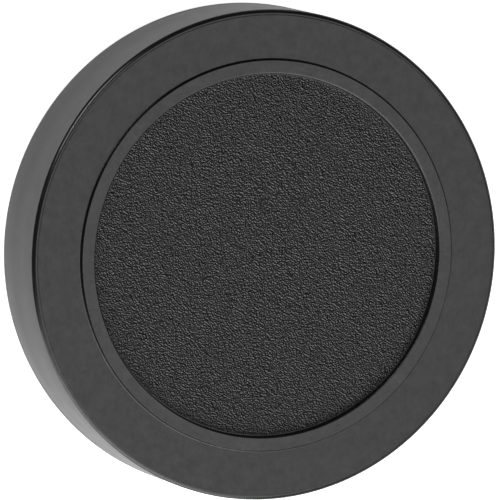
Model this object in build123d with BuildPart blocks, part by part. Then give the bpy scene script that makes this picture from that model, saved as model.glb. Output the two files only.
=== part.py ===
from build123d import *
import math
import os

# Push-on lens cap, moulded in one piece: a cup that lies on its mouth, with its front up.
# Millimetres, +Z up, origin on the axis in the plane of the mouth.

# Skirt
bore_d = 51.0         # inside of the skirt, the size of the lens rim that it grips
skirt_wall = 1.3      # skirt's wall where it meets the front
draft_deg = 0.3       # skirt's outside widens this much towards the mouth
height = 10.5         # from the mouth to the top of the raised ring
lead_in = 0.4         # chamfer inside the mouth, which finds the lens rim
lip = 0.2             # chamfer on the outside of the mouth

# Front
front_wall = 1.2      # thickness under the grained floor, the thinnest place
root_r = 0.8          # round inside, between the skirt and the front
corner_width = 0.40   # bevel outside, between the skirt and the front, seen from above
corner_height = 0.36  # the same bevel, seen from the side
corner_crown = 0.95   # radius to which the bevel is crowned

# Narrow band round the edge of the front, a little below its face
band_width = 0.56     # from the skirt's outside to the foot of the face
band_drop = 0.14      # how far the band lies below the face
band_slope = 0.06     # how far the small wall between them leans

# Recessed floor inside the ring, which carries the grain
floor_d = 39.7        # the recess at the ring's top
floor_drop = 0.75     # how far the floor lies below the ring's top
floor_slope = 0.08    # how far the recess's wall leans

# Raised ring
ring_width = 1.45     # across the ring's top
ring_rise = 0.40      # how far the ring stands above the face
ring_slope = 0.14     # how far its outer wall leans
ring_foot_r = 0.26    # round where that wall runs out into the face
edge_break = 0.05     # chamfer on the top edges of the ring

bore_r = bore_d / 2
front_r = bore_r + skirt_wall
floor_r = floor_d / 2
ring_r = floor_r + ring_width
ring_z = height
face_z = ring_z - ring_rise
band_z = face_z - band_drop
corner_z = band_z - corner_height
floor_z = ring_z - floor_drop
ceiling_z = floor_z - front_wall
mouth_r = front_r + corner_z * math.tan(math.radians(draft_deg))


def on_circle(edges, radius, z):
    """The edges that run round the axis at one radius and height."""
    return edges.filter_by(GeomType.CIRCLE).filter_by(
        lambda e: abs(e.radius - radius) < 1e-4 and abs(e.center().Z - z) < 1e-4
    )


# One half of the cap's section, turned round the axis.
with BuildPart() as lens_cap:
    with BuildSketch(Plane.XZ):
        with BuildLine():
            Polyline(
                (front_r, corner_z),
                (mouth_r, 0),
                (bore_r, 0),
                (bore_r, ceiling_z),
                (0, ceiling_z),
                (0, floor_z),
                (floor_r - floor_slope, floor_z),
                (floor_r, ring_z),
                (ring_r, ring_z),
                (ring_r + ring_slope, face_z),
                (front_r - band_width - band_slope, face_z),
                (front_r - band_width, band_z),
                (front_r - corner_width, band_z),
            )
            RadiusArc((front_r - corner_width, band_z), (front_r, corner_z), corner_crown)
        make_face()
    revolve(axis=Axis.Z)

    circles = lens_cap.edges()
    fillet(on_circle(circles, bore_r, ceiling_z), root_r)
    chamfer(on_circle(lens_cap.edges(), bore_r, 0), lead_in)
    chamfer(on_circle(lens_cap.edges(), mouth_r, 0), min(lip, (mouth_r - bore_r - lead_in) / 2))
    fillet(on_circle(lens_cap.edges(), ring_r + ring_slope, face_z), ring_foot_r)
    for radius in (floor_r, ring_r):
        chamfer(on_circle(lens_cap.edges(), radius, ring_z), edge_break)

lens_cap.part.label = "lens_cap"

os.makedirs("parts", exist_ok=True)
export_step(lens_cap.part, "parts/lens_cap.step")

grip = ceiling_z - root_r - lead_in
print(f"outside {2 * mouth_r:.2f} at the mouth, {2 * front_r:.2f} at the front, height {height:.2f}")
print(f"bore {bore_d:.2f}, straight wall {grip:.2f}, ceiling at {ceiling_z:.2f}")
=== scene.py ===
"""Push-on lens cap: a one-piece plastic moulding with a raised ring and a grained floor.

Lays the cap front up on a pale floor and looks down on it from a little to one side.
"""
import math

import bmesh
import bpy
from mathutils import Matrix, Vector


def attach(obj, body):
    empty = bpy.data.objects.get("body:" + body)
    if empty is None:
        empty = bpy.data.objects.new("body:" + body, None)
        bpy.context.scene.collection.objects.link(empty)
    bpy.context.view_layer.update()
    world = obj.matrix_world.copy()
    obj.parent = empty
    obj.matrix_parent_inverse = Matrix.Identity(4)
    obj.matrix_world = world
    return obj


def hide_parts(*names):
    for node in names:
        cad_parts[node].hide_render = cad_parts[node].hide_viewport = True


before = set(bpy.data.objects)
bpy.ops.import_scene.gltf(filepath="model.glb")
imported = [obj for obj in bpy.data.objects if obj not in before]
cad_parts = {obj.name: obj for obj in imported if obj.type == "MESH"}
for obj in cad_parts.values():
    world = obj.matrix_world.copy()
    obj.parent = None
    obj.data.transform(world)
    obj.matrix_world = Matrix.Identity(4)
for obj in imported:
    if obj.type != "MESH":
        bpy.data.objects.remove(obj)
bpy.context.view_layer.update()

bl_info = {
    "name": "Lens Cap",
    "version": (1, 0, 0),
    "blender": (4, 5, 0),
    "location": "View3D > Sidebar > Lens Cap",
    "description": "Builds a push-on lens cap and the stage it is seen on",
    "category": "Add Mesh",
}

NEAR = 1e-6                   # places closer than this are the same place
FLAT = 0.99999                # a normal this upright belongs to a flat face

# Rounds of the section, in metres
BAND_ROUND = 0.000015         # head and foot of the band's small wall
RING_FOOT_ROUND = 0.00013     # where the ring's outer wall runs out into the face
RING_OUTER_ROUND = 0.00003    # top of the ring, outer edge
RING_INNER_ROUND = 0.00017    # top of the ring, edge of the recess
FLOOR_FOOT_ROUND = 0.00002    # foot of the recess's wall
BEVEL_LOW_ROUND = 0.00006     # between the skirt and the crowned bevel
BEVEL_HIGH_ROUND = 0.00005    # between the crowned bevel and the band

# Where flat stretches of the section are divided, in metres
FACE_FROM_BAND = 0.0002       # first ring of the face, from the band
FACE_FROM_RING = 0.0003       # last ring of the face, from the raised ring
FLOOR_STEP = 0.0001           # from the recess's wall to the floor, and on to its grid
CEILING_HUB = 0.001           # last ring of the inside, from the axis

# Depths over which a finish reaches, in metres
GRAIN_REACH = 0.00005         # below the recess's floor
RING_REACH = 0.00006          # below the ring's top

# Grain
RELIEF_PITCH = 0.00030        # metres, the size of the clouds that lift the floor
PEBBLE_SCALE = 7000           # noise cells to a metre
PEBBLE_LENGTH = 1.12          # a pebble's length over its width
PEBBLE_BEARING = 150          # degrees, the way the pebbles lie
PEBBLE_DEPTH = 0.000130       # metres of bump
FLANK_SHIFT = 0.00006         # metres from a pebble's crown to its flank
# Painted light on the grain: a painted highlight on each pebble's flank towards the lamps, painted shade
# on the flank away from them
FLANK_PAINTED_SHADE = (-0.30, -0.02)   # difference of noise over which the flank facing away from the lamps loses gloss, as painted shade
FLANK_PAINTED_HIGHLIGHT = (0.11, 0.42)     # the same over which the flank facing the lamps is painted lighter, as a painted highlight
PAINTED_SHADE_GLOSS = 0.42             # what the flank with painted shade keeps of the gloss
GRAIN_AND_PAINTED_HIGHLIGHT_GREYS = (0.002, 0.092)   # grey of the grain, and of the painted highlight on its lit flanks at their brightest

# Plastic
ROUGHNESS_DRIFT = 0.05        # up and down, over the whole moulding
MOTTLE = 0.16                 # up and down on the smooth faces, as a part of the gloss

# Floor
FLOOR_GAP = 0.00001           # metres under the mouth, so that the two never share a plane
FLOOR_SEEN = 0.75             # glow that makes it white to the camera
FLOOR_MIRRORED = 0.06         # glow that the plastic mirrors

# Camera
CAMERA_TILT = 20.76           # degrees off the cap's axis
CAMERA_BEARING = 162.4        # degrees
CAMERA_DISTANCE = 30          # in radii of the front
PICTURE_WIDTH = 500           # pixels
FRONT_RADIUS = 246.7          # pixels, the front in the picture
OFF_MIDDLE = (17.3, -5.6)     # pixels, the front's middle from the picture's, right and up
SENSOR_WIDTH = 36             # millimetres


class LensCapSizes(bpy.types.PropertyGroup):
    """Sizes of the moulding and of the grain on its floor."""

    bore_radius: bpy.props.FloatProperty(
        name="Bore radius", description="Inside of the skirt", default=0.0255, unit="LENGTH")
    skirt_wall: bpy.props.FloatProperty(
        name="Skirt wall", description="Wall of the skirt at the front", default=0.0013, unit="LENGTH")
    draft: bpy.props.FloatProperty(
        name="Draft", description="Widening of the skirt towards its mouth",
        default=math.radians(0.3), subtype="ANGLE", unit="ROTATION")
    height: bpy.props.FloatProperty(
        name="Height", description="From the mouth to the top of the ring", default=0.0105, unit="LENGTH")
    front_wall: bpy.props.FloatProperty(
        name="Front wall", description="Thickness under the grained floor", default=0.0012, unit="LENGTH")
    root_radius: bpy.props.FloatProperty(
        name="Root radius", description="Round inside, between skirt and front",
        default=0.0008, unit="LENGTH")
    crown_radius: bpy.props.FloatProperty(
        name="Crown radius", description="Slight crown of the bevel between skirt and front",
        default=0.00096, unit="LENGTH")
    lead_in: bpy.props.FloatProperty(
        name="Lead-in", description="Chamfer inside the mouth", default=0.0004, unit="LENGTH")
    lip: bpy.props.FloatProperty(
        name="Lip", description="Round outside the mouth", default=0.0002, unit="LENGTH")
    band_width: bpy.props.FloatProperty(
        name="Band width", description="Narrow band round the front", default=0.00056, unit="LENGTH")
    band_drop: bpy.props.FloatProperty(
        name="Band drop", description="How far the band lies below the face",
        default=0.00014, unit="LENGTH")
    band_slope: bpy.props.FloatProperty(
        name="Band slope", description="Lean of the band's small wall", default=0.00006, unit="LENGTH")
    floor_radius: bpy.props.FloatProperty(
        name="Floor radius", description="Radius of the recess", default=0.01985, unit="LENGTH")
    floor_drop: bpy.props.FloatProperty(
        name="Floor drop", description="Depth of the recess", default=0.00075, unit="LENGTH")
    floor_slope: bpy.props.FloatProperty(
        name="Floor slope", description="Lean of the recess's wall", default=0.00008, unit="LENGTH")
    ring_width: bpy.props.FloatProperty(
        name="Ring width", description="Width of the raised ring", default=0.00145, unit="LENGTH")
    ring_rise: bpy.props.FloatProperty(
        name="Ring rise", description="Height of the raised ring", default=0.00040, unit="LENGTH")
    ring_slope: bpy.props.FloatProperty(
        name="Ring slope", description="Lean of the ring's outer wall", default=0.00014, unit="LENGTH")
    segments: bpy.props.IntProperty(
        name="Segments", description="Segments round the axis", default=240, min=32)
    floor_cells: bpy.props.IntProperty(
        name="Floor cells", description="Cells across the grained floor", default=284, min=16)
    grain_depth: bpy.props.FloatProperty(
        name="Grain depth", description="Depth of the moulded grain", default=0.00006, unit="LENGTH")
    grain_margin: bpy.props.FloatProperty(
        name="Grain margin", description="Over which the grain dies away at the recess's wall",
        default=0.0004, unit="LENGTH")


class LensCapColours(bpy.types.PropertyGroup):
    """Colours of the cap and its stage."""

    plastic: bpy.props.FloatVectorProperty(
        name="Plastic", description="Black moulded plastic", subtype="COLOR", size=3,
        default=(0.006, 0.006, 0.0062))
    floor: bpy.props.FloatVectorProperty(
        name="Floor", description="Pale floor", subtype="COLOR", size=3, default=(0.9, 0.9, 0.9))


def is_on_ring(vert, radius, height):
    """Whether a vertex lies on the ring round the axis at one radius and height."""
    return abs(vert.co.xy.length - radius) < NEAR and abs(vert.co.z - height) < NEAR


def select_rings(radii, height):
    """Selects the edges that run round the axis at the given radii, at one height."""
    bpy.ops.mesh.select_mode(type="VERT")
    bpy.ops.mesh.select_all(action="DESELECT")
    data = bpy.context.edit_object.data
    mesh = bmesh.from_edit_mesh(data)
    for vert in mesh.verts:
        vert.select = any(is_on_ring(vert, radius, height) for radius in radii)
    mesh.select_flush_mode()
    bmesh.update_edit_mesh(data)


def pull_ring(start, stations):
    """Extrudes the selected ring through the stations (radius, height) of a section."""
    radius, height = start
    for next_radius, next_height in stations:
        bpy.ops.mesh.extrude_edges_move(
            TRANSFORM_OT_translate={"value": (0, 0, next_height - height)})
        factor = next_radius / radius
        bpy.ops.transform.resize(value=(factor, factor, 1), center_override=(0, 0, next_height))
        radius, height = next_radius, next_height


def arc(centre, radius, start_deg, end_deg, steps):
    """Points on a round of the section, from one angle to the other."""
    angles = [math.radians(start_deg + (end_deg - start_deg) * n / steps) for n in range(steps + 1)]
    return [(centre[0] + radius * math.cos(a), centre[1] + radius * math.sin(a)) for a in angles]


def tangent_arcs(start, arcs):
    """Chain of rounds that flow into each other. Angles are those of the surface's normal."""
    points = []
    at = Vector(start)
    for radius, first_deg, last_deg, steps in arcs:
        normal = Vector((math.sin(math.radians(first_deg)), math.cos(math.radians(first_deg))))
        centre = at - normal * radius
        for n in range(1, steps + 1):
            angle = math.radians(first_deg + (last_deg - first_deg) * n / steps)
            at = centre + Vector((math.sin(angle), math.cos(angle))) * radius
            points.append(tuple(at))
    return points


def between(start, end, steps):
    """Points on a straight stretch of the section, its end included."""
    return [tuple(s + (e - s) * n / steps for s, e in zip(start, end)) for n in range(1, steps + 1)]


def softened(before, corner, after, radius, steps):
    """Points that round one corner of the section."""
    corner = Vector(corner)
    towards = (Vector(before) - corner).normalized()
    away = (Vector(after) - corner).normalized()
    half = towards.angle(away) / 2
    reach = radius / math.tan(half)
    first, last = corner + towards * reach, corner + away * reach
    centre = corner + (towards + away).normalized() * (radius / math.sin(half))
    points = []
    for n in range(steps + 1):
        outwards = (first - centre).lerp(last - centre, n / steps).normalized()
        points.append(tuple(centre + outwards * radius))
    return points


def new_material(name):
    """A material with its nodes and links."""
    material = bpy.data.materials.new(name)
    material.use_nodes = True
    return material, material.node_tree.nodes, material.node_tree.links


def add_noise(nodes, links, place, scale, detail, roughness=0.5):
    """Noise read at a place."""
    noise = nodes.new("ShaderNodeTexNoise")
    noise.inputs["Scale"].default_value = scale
    noise.inputs["Detail"].default_value = detail
    noise.inputs["Roughness"].default_value = roughness
    links.new(place, noise.inputs["Vector"])
    return noise.outputs["Fac"]


def add_bump(nodes, links, height, distance, strength):
    """Bump of the given depth."""
    bump = nodes.new("ShaderNodeBump")
    bump.inputs["Distance"].default_value = distance
    bump.inputs["Strength"].default_value = strength
    links.new(height, bump.inputs["Height"])
    return bump


def feed(nodes, links, value, ends, socket, values):
    """Feeds a socket with a value whose two ends are stretched to the given values."""
    spread = nodes.new("ShaderNodeMapRange")
    spread.inputs["From Min"].default_value, spread.inputs["From Max"].default_value = ends
    spread.inputs["To Min"].default_value, spread.inputs["To Max"].default_value = values
    links.new(value, spread.inputs["Value"])
    links.new(spread.outputs["Result"], socket)


def add_maths(nodes, links, operation, first, second):
    """Works on two values, each an output or a plain number."""
    maths = nodes.new("ShaderNodeMath")
    maths.operation = operation
    for socket, value in zip(maths.inputs, (first, second)):
        if isinstance(value, (int, float)):
            socket.default_value = value
        else:
            links.new(value, socket)
    return maths.outputs[0]


def add_pebbles(nodes, links, place, shift):
    """Noise of the grain's pebbles, which are longer one way, shifted across their length."""
    along, across = math.radians(PEBBLE_BEARING), math.radians(PEBBLE_BEARING + 90)
    lay = nodes.new("ShaderNodeMapping")
    lay.vector_type = "TEXTURE"
    lay.inputs["Location"].default_value = (shift * math.cos(across), shift * math.sin(across), 0)
    lay.inputs["Rotation"].default_value = (0, 0, along)
    lay.inputs["Scale"].default_value = (PEBBLE_LENGTH, 1, 1)
    links.new(place, lay.inputs["Vector"])
    return add_noise(nodes, links, lay.outputs["Vector"], scale=PEBBLE_SCALE, detail=0)


def plastic_material(name, colour, roughness, gloss, grain=False):
    """Black moulded plastic. The grained one has the fine spark-eroded texture of the floor, with a
    painted highlight and painted shade on its pebbles' flanks.
    """
    material, nodes, links = new_material(name)
    shader = nodes["Principled BSDF"]
    shader.inputs["Base Color"].default_value = (*colour, 1)
    shader.inputs["IOR"].default_value = 1.5
    shader.inputs["Specular IOR Level"].default_value = gloss
    place = nodes.new("ShaderNodeTexCoord").outputs["Object"]

    # Roughness drifts a little over the moulding, and the skin is never quite even.
    drift = add_noise(nodes, links, place, scale=400, detail=4)
    feed(nodes, links, drift, (0, 1), shader.inputs["Roughness"],
         (roughness - ROUGHNESS_DRIFT, roughness + ROUGHNESS_DRIFT))
    skin = add_noise(nodes, links, place, scale=9000, detail=2)
    bump = add_bump(nodes, links, skin, distance=0.000002, strength=0.5)

    if grain:
        pebbles = add_pebbles(nodes, links, place, 0)
        relief = add_bump(nodes, links, pebbles, distance=PEBBLE_DEPTH, strength=1)
        links.new(bump.outputs["Normal"], relief.inputs["Normal"])
        bump = relief
        # Painted light: each pebble gets a painted highlight, a lighter grey, on the flank that faces the
        # lamps, and painted shade, less gloss, on the flank that faces away.
        painted_flank_light = add_maths(nodes, links, "SUBTRACT", add_pebbles(nodes, links, place, FLANK_SHIFT),
                          add_pebbles(nodes, links, place, -FLANK_SHIFT))
        feed(nodes, links, painted_flank_light, FLANK_PAINTED_SHADE, shader.inputs["Specular IOR Level"],
             (gloss * PAINTED_SHADE_GLOSS, gloss))
        feed(nodes, links, painted_flank_light, FLANK_PAINTED_HIGHLIGHT, shader.inputs["Base Color"], GRAIN_AND_PAINTED_HIGHLIGHT_GREYS)
    else:
        # The smooth faces are faintly mottled.
        mottle = add_noise(nodes, links, place, scale=600, detail=3, roughness=1)
        feed(nodes, links, mottle, (0.3, 0.7), shader.inputs["Specular IOR Level"],
             (gloss * (1 - MOTTLE), gloss * (1 + MOTTLE)))
    links.new(bump.outputs["Normal"], shader.inputs["Normal"])
    return material


def section(size):
    """The cap's section: the foot of the mouth, and from there the outside and the inside."""
    front_r = size.bore_radius + size.skirt_wall
    ring_z = size.height
    face_z = ring_z - size.ring_rise
    band_z = face_z - size.band_drop
    floor_z = ring_z - size.floor_drop
    ceiling_z = floor_z - size.front_wall

    # The bevel's points are counted from the skirt's top, its rounds' angles from straight up.
    bevel = tangent_arcs((0, 0), (
        (BEVEL_LOW_ROUND, 90, 53, 3), (size.crown_radius, 53, 25, 6), (BEVEL_HIGH_ROUND, 25, 0, 2)))
    skirt_z = band_z - bevel[-1][1]
    mouth_r = front_r + skirt_z * math.tan(size.draft)
    lip_r = mouth_r - size.lip * math.tan(size.draft)

    # Corners of the stepped front, from the outside in.
    front_edge = (front_r, band_z)
    band_foot = (front_r - size.band_width, band_z)
    band_head = (front_r - size.band_width - size.band_slope, face_z)
    ring_outer = (size.floor_radius + size.ring_width, ring_z)
    ring_foot = (ring_outer[0] + size.ring_slope, face_z)
    ring_inner = (size.floor_radius, ring_z)
    floor_foot = (size.floor_radius - size.floor_slope, floor_z)

    outside = arc((mouth_r - size.lip, size.lip), size.lip, -90, 0, 4)[1:]
    outside += between((lip_r, size.lip), (front_r, skirt_z), 3)
    outside += [(front_r + across, skirt_z + up) for across, up in bevel]
    outside += softened(front_edge, band_foot, band_head, BAND_ROUND, 3)
    outside += softened(band_foot, band_head, ring_foot, BAND_ROUND, 3)
    outside += between(
        (band_head[0] - FACE_FROM_BAND, face_z), (ring_foot[0] + FACE_FROM_RING, face_z), 3)
    outside += softened(band_head, ring_foot, ring_outer, RING_FOOT_ROUND, 6)
    outside += softened(ring_foot, ring_outer, ring_inner, RING_OUTER_ROUND, 3)
    outside += softened(ring_outer, ring_inner, floor_foot, RING_INNER_ROUND, 5)
    outside += softened(ring_inner, floor_foot, (0, floor_z), FLOOR_FOOT_ROUND, 2)
    outside.append((floor_foot[0] - FLOOR_STEP, floor_z))

    root = (size.bore_radius - size.root_radius, ceiling_z - size.root_radius)
    inside = [(size.bore_radius + size.lead_in, 0.0), (size.bore_radius, size.lead_in)]
    inside += between((size.bore_radius, size.lead_in), (size.bore_radius, root[1]), 2)
    inside += arc(root, size.root_radius, 0, 90, 6)[1:]
    inside += between((root[0], ceiling_z), (CEILING_HUB, ceiling_z), 2)
    return (mouth_r - size.lip, 0.0), outside, inside


def turn_shell(segments, start, outside, inside):
    """Turns the section round the axis, into a shell that is open where the grained floor goes."""
    bpy.ops.object.select_all(action="DESELECT")
    bpy.ops.mesh.primitive_circle_add(
        vertices=segments, radius=start[0], fill_type="NOTHING", location=(0, 0, 0))
    piece = bpy.context.object
    bpy.ops.object.mode_set(mode="EDIT")
    bpy.ops.mesh.select_all(action="SELECT")
    pull_ring(start, outside)
    select_rings((start[0],), start[1])
    pull_ring(start, inside)
    bpy.ops.mesh.extrude_edges_move(TRANSFORM_OT_translate={"value": (0, 0, 0)})
    bpy.ops.mesh.merge(type="CENTER")
    bpy.ops.mesh.select_all(action="DESELECT")
    bpy.ops.object.mode_set(mode="OBJECT")
    return piece


def lay_cap_floor(piece, cells, floor_edge, floor_z):
    """Closes the recess with a fine grid, bridged to the edge that the shell ends in."""
    grid_r = floor_edge - FLOOR_STEP
    bpy.ops.mesh.primitive_circle_add(
        vertices=cells * 4, radius=grid_r, fill_type="NOTHING", location=(0, 0, floor_z))
    grid = bpy.context.object
    bpy.ops.object.mode_set(mode="EDIT")
    bpy.ops.mesh.select_all(action="SELECT")
    bpy.ops.mesh.fill_grid(span=cells, offset=0, use_interp_simple=True)
    bpy.ops.object.mode_set(mode="OBJECT")
    bpy.ops.object.transform_apply(location=True, rotation=True, scale=True)
    bpy.ops.object.select_all(action="DESELECT")
    grid.select_set(True)
    piece.select_set(True)
    bpy.context.view_layer.objects.active = piece
    bpy.ops.object.join()

    # Only the two rings that face each other are bridged, not the grid's own edges.
    bpy.ops.object.mode_set(mode="EDIT")
    select_rings((floor_edge, grid_r), floor_z)
    mesh = bmesh.from_edit_mesh(piece.data)
    for edge in mesh.edges:
        a, b = edge.verts
        runs_round = abs(a.co.xy.length - b.co.xy.length) < NEAR
        edge.select = a.select and b.select and runs_round and len(edge.link_faces) == 1
    bmesh.update_edit_mesh(piece.data)
    bpy.ops.mesh.select_mode(type="EDGE")
    bpy.ops.mesh.bridge_edge_loops()
    bpy.ops.mesh.select_all(action="SELECT")
    bpy.ops.mesh.normals_make_consistent(inside=False)
    bpy.ops.object.mode_set(mode="OBJECT")


def press_grain(piece, depth, margin, floor_edge, floor_z):
    """Lifts the floor into grain, which dies away before the recess's wall."""
    group = piece.vertex_groups.new(name="grain")
    for vert in piece.data.vertices:
        gap = floor_edge - vert.co.xy.length
        if abs(vert.co.z - floor_z) < NEAR and gap > 0:
            group.add([vert.index], min(1.0, gap / margin), "REPLACE")
    clouds = bpy.data.textures.new("grain", "CLOUDS")
    clouds.noise_scale = RELIEF_PITCH
    clouds.noise_depth = 0
    clouds.noise_basis = "IMPROVED_PERLIN"
    relief = piece.modifiers.new("grain", "DISPLACE")
    relief.texture = clouds
    relief.texture_coords = "LOCAL"
    relief.vertex_group = group.name
    relief.direction = "Z"
    relief.strength = depth
    relief.mid_level = 0.5
    bpy.ops.object.modifier_apply(modifier=relief.name)
    bpy.data.textures.remove(clouds)
    piece.vertex_groups.clear()


def finish_faces(piece, plastic, floor_edge, floor_z, ring_z):
    """Gives the smooth faces, the grained floor and the top of the ring their plastic."""
    for material in (
            plastic_material("black_plastic", plastic, roughness=0.22, gloss=0.60),
            plastic_material("black_plastic_grained", plastic, roughness=0.25, gloss=0.43, grain=True),
            plastic_material("black_plastic_ring", plastic, roughness=0.26, gloss=0.66)):
        piece.data.materials.append(material)
    smooth, grained, ring = range(3)
    for face in piece.data.polygons:
        spot = face.center
        face.material_index = smooth
        face.use_smooth = abs(face.normal.z) < FLAT
        if spot.z > floor_z - GRAIN_REACH and spot.xy.length < floor_edge:
            face.material_index = grained
            face.use_smooth = True
        elif spot.z > ring_z - RING_REACH:
            face.material_index = ring


class LENSCAP_OT_moulding(bpy.types.Operator):
    """Build the whole cap as one closed moulding, with the grain on its floor"""

    bl_idname = "lenscap.moulding"
    bl_label = "Moulding"
    bl_options = {"REGISTER", "UNDO"}

    def execute(self, context):
        size = context.scene.lens_cap_sizes
        start, outside, inside = section(size)
        floor_edge, floor_z = outside[-1]
        piece = turn_shell(size.segments, start, outside, inside)
        piece.name = "cap_moulding"
        lay_cap_floor(piece, size.floor_cells, floor_edge, floor_z)
        press_grain(piece, size.grain_depth, size.grain_margin, floor_edge, floor_z)
        finish_faces(piece, context.scene.lens_cap_colours.plastic, floor_edge, floor_z, size.height)

        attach(piece, "root")
        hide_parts("lens_cap")
        return {"FINISHED"}


def direction(tilt, bearing):
    """Unit vector at a tilt from straight up and a bearing, both in degrees."""
    t, b = math.radians(tilt), math.radians(bearing)
    return Vector((math.sin(t) * math.cos(b), math.sin(t) * math.sin(b), math.cos(t)))


def add_floor(colour):
    """A pale floor, white to the camera and dim where the plastic mirrors it."""
    bpy.ops.object.select_all(action="DESELECT")
    bpy.ops.mesh.primitive_plane_add(size=6, location=(0, 0, -FLOOR_GAP))
    floor = bpy.context.object
    floor.name = "floor"
    material, nodes, links = new_material("pale_floor")
    surface = nodes["Principled BSDF"]
    surface.inputs["Base Color"].default_value = (*colour, 1)
    surface.inputs["Roughness"].default_value = 0.9
    surface.inputs["Specular IOR Level"].default_value = 0.0
    surface.inputs["Emission Color"].default_value = (1, 1, 1, 1)
    path = nodes.new("ShaderNodeLightPath").outputs
    seen = add_maths(nodes, links, "MULTIPLY", path["Is Camera Ray"], FLOOR_SEEN)
    mirrored = add_maths(nodes, links, "MAXIMUM", path["Is Glossy Ray"], path["Is Transmission Ray"])
    dimmed = add_maths(nodes, links, "MULTIPLY", mirrored, FLOOR_MIRRORED)
    glow = add_maths(nodes, links, "MAXIMUM", seen, dimmed)
    links.new(glow, surface.inputs["Emission Strength"])
    floor.data.materials.append(material)


def add_light(name, tilt, bearing, distance, width, depth, radiance, square_to, mirrored=True):
    """A soft box aimed at the cap, with its edges square to one bearing. Angles are in degrees."""
    place = direction(tilt, bearing) * distance
    bpy.ops.object.light_add(type="AREA", location=place)
    lamp = bpy.context.object
    lamp.name = name
    lamp.data.shape = "RECTANGLE"
    lamp.data.size = width
    lamp.data.size_y = depth
    lamp.data.energy = radiance * math.pi * width * depth
    lamp.visible_glossy = mirrored
    back = place.normalized()
    across = direction(90, square_to).cross(back).normalized()
    along = back.cross(across)
    lamp.matrix_world = Matrix.Translation(place) @ Matrix((across, along, back)).transposed().to_4x4()


def add_camera(radius, face_z):
    """A camera that looks down on the cap's face through a long lens."""
    distance = CAMERA_DISTANCE * radius
    towards = direction(CAMERA_TILT, CAMERA_BEARING)
    up = (Vector((0, 1, 0)) - towards * towards.y).normalized()
    right = up.cross(towards)
    pixels_per_metre = FRONT_RADIUS / radius
    aim = Vector((0, 0, face_z)) - (right * OFF_MIDDLE[0] + up * OFF_MIDDLE[1]) / pixels_per_metre
    place = aim + towards * distance
    bpy.ops.object.camera_add(location=place)
    camera = bpy.context.object
    camera.name = "camera"
    camera.matrix_world = Matrix.Translation(place) @ Matrix((right, up, towards)).transposed().to_4x4()
    camera.data.sensor_fit = "HORIZONTAL"
    camera.data.sensor_width = SENSOR_WIDTH
    camera.data.lens = SENSOR_WIDTH * pixels_per_metre * distance / PICTURE_WIDTH
    camera.data.clip_start = 0.01
    camera.data.clip_end = 20
    bpy.context.scene.camera = camera


class LENSCAP_OT_stage(bpy.types.Operator):
    """Set the floor, the lights and the camera"""

    bl_idname = "lenscap.stage"
    bl_label = "Stage"
    bl_options = {"REGISTER", "UNDO"}

    def execute(self, context):
        scene = context.scene
        size = scene.lens_cap_sizes
        add_floor(scene.lens_cap_colours.floor)

        add_light("wide_box", tilt=23.4, bearing=-58.8, distance=2.0,
                  width=2.8, depth=2.3, radiance=1.1, square_to=240)
        add_light("main_box", tilt=38.1, bearing=272.4, distance=2.0,
                  width=2.8, depth=2.1, radiance=1.3, square_to=240)
        add_light("bright_box", tilt=66, bearing=248, distance=1.9,
                  width=1.6, depth=0.45, radiance=2.4, square_to=248)
        add_light("side_box", tilt=58, bearing=216, distance=2.0,
                  width=1.0, depth=0.9, radiance=0.9, square_to=216)
        add_light("low_box", tilt=80, bearing=246, distance=2.0,
                  width=3.1, depth=0.5, radiance=4.2, square_to=246)
        add_light("low_back_card", tilt=53, bearing=132, distance=1.0,
                  width=0.5, depth=0.12, radiance=8.0, square_to=132)
        add_light("floor_fill", tilt=55, bearing=25, distance=2.0,
                  width=1.6, depth=1.6, radiance=1.5, square_to=25, mirrored=False)
        add_light("side_fill", tilt=50, bearing=200, distance=2.0,
                  width=1.6, depth=1.6, radiance=0.5, square_to=200, mirrored=False)

        world = scene.world or bpy.data.worlds.new("studio")
        scene.world = world
        world.use_nodes = True
        background = world.node_tree.nodes["Background"]
        background.inputs["Color"].default_value = (0.02, 0.02, 0.02, 1)
        background.inputs["Strength"].default_value = 1.0

        add_camera(size.bore_radius + size.skirt_wall, size.height - size.ring_rise)
        scene.view_settings.view_transform = "Standard"
        return {"FINISHED"}


class LENSCAP_PT_panel(bpy.types.Panel):
    """Lists the lens cap's sizes, its colours and what builds it"""

    bl_idname = "LENSCAP_PT_panel"
    bl_label = "Lens Cap"
    bl_space_type = "VIEW_3D"
    bl_region_type = "UI"
    bl_category = "Lens Cap"

    def draw(self, context):
        layout = self.layout
        for group in (context.scene.lens_cap_sizes, context.scene.lens_cap_colours):
            for name in type(group).__annotations__:
                layout.prop(group, name)
        layout.operator(LENSCAP_OT_moulding.bl_idname)
        layout.operator(LENSCAP_OT_stage.bl_idname)


CLASSES = (LensCapSizes, LensCapColours, LENSCAP_OT_moulding, LENSCAP_OT_stage, LENSCAP_PT_panel)


def register():
    for cls in CLASSES:
        bpy.utils.register_class(cls)
    bpy.types.Scene.lens_cap_sizes = bpy.props.PointerProperty(type=LensCapSizes)
    bpy.types.Scene.lens_cap_colours = bpy.props.PointerProperty(type=LensCapColours)


def unregister():
    del bpy.types.Scene.lens_cap_colours
    del bpy.types.Scene.lens_cap_sizes
    for cls in reversed(CLASSES):
        bpy.utils.unregister_class(cls)


def main():
    register()
    bpy.ops.lenscap.moulding()
    bpy.ops.lenscap.stage()


if __name__ == "__main__":
    main()
